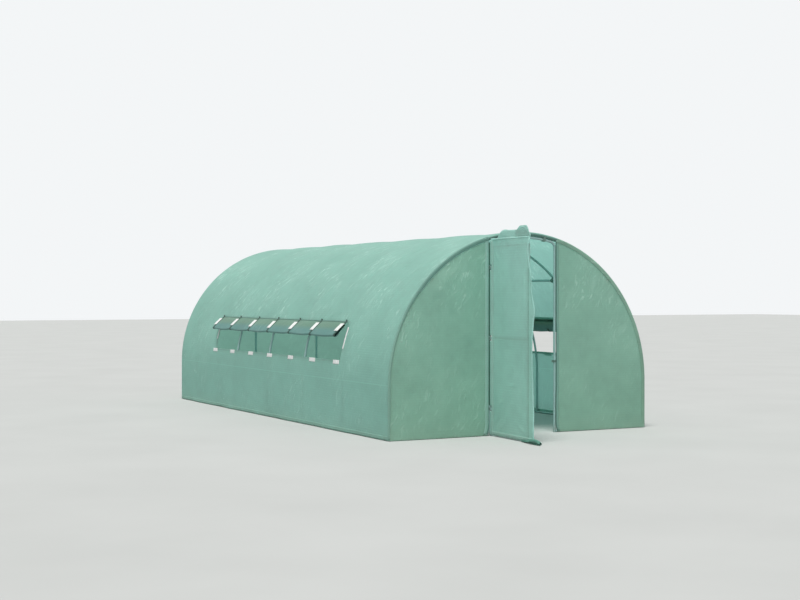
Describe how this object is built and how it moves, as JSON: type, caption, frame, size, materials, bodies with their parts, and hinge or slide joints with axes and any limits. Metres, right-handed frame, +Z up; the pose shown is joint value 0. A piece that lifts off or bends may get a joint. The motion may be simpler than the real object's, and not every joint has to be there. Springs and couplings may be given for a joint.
{
  "type": "polytunnel greenhouse",
  "caption": "Hooped tube frame under a fabric cover, with a long window under a folded-up flap in each side and a hinged door leaf in one end.",
  "frame": {"origin": "on the ground, in the middle of the whole object's box with the door leaf standing open", "axes": "+Y along the tunnel from the doorway end to the rear end, +X to the right seen from the doorway, +Z up"},
  "size_m": [3.017, 6.9731, 2.026],
  "materials": {
    "frame_tube": "dull galvanised",
    "fitting_steel": "dull zinc",
    "cover_fabric": "woven reinforced film",
    "end_fabric": "woven reinforced film",
    "flap_fabric": "woven reinforced film, doubled",
    "hook_and_loop": "napped tape"
  },
  "bodies": {
    "tunnel": {"hoop_1": "frame_tube", "hoop_2": "frame_tube", "hoop_3": "frame_tube", "hoop_4": "frame_tube", "hoop_5": "frame_tube", "hoop_6": "frame_tube", "hoop_7": "frame_tube", "left_purlin": "frame_tube", "ridge_purlin": "frame_tube", "right_purlin": "frame_tube", "left_ground_rail": "frame_tube", "right_ground_rail": "frame_tube", "front_ground_rails": "frame_tube", "rear_ground_rail": "frame_tube", "rear_posts": "frame_tube", "left_door_post": "frame_tube", "right_door_post": "frame_tube", "door_header": "frame_tube", "purlin_clamps": "fitting_steel", "header_clamps": "fitting_steel", "hinge_brackets": "fitting_steel", "door_catch": "fitting_steel", "left_lower_wall": "cover_fabric", "left_front_wall": "cover_fabric", "left_rear_wall": "cover_fabric", "left_shoulder": "cover_fabric", "left_roof": "cover_fabric", "right_lower_wall": "cover_fabric", "right_front_wall": "cover_fabric", "right_rear_wall": "cover_fabric", "right_shoulder": "cover_fabric", "right_roof": "cover_fabric", "left_front_cover": "end_fabric", "right_front_cover": "end_fabric", "rear_cover": "end_fabric", "left_window_flap": "flap_fabric", "right_window_flap": "flap_fabric", "left_window_fasteners": "hook_and_loop", "right_window_fasteners": "hook_and_loop"},
    "door": {"door_hinge_stile": "frame_tube", "door_free_stile": "frame_tube", "door_top_rail": "frame_tube", "door_middle_rail": "frame_tube", "door_bottom_rail": "frame_tube", "door_cloth": "end_fabric", "door_cloth_tail": "flap_fabric"}
  },
  "joints": [
    {"name": "door_swing", "type": "hinge", "parent": "tunnel", "child": "door", "pos_m": [-0.38, -2.52571, 0], "axis": [0, 0, 1], "range_deg": [-77, 93]}
  ]
}
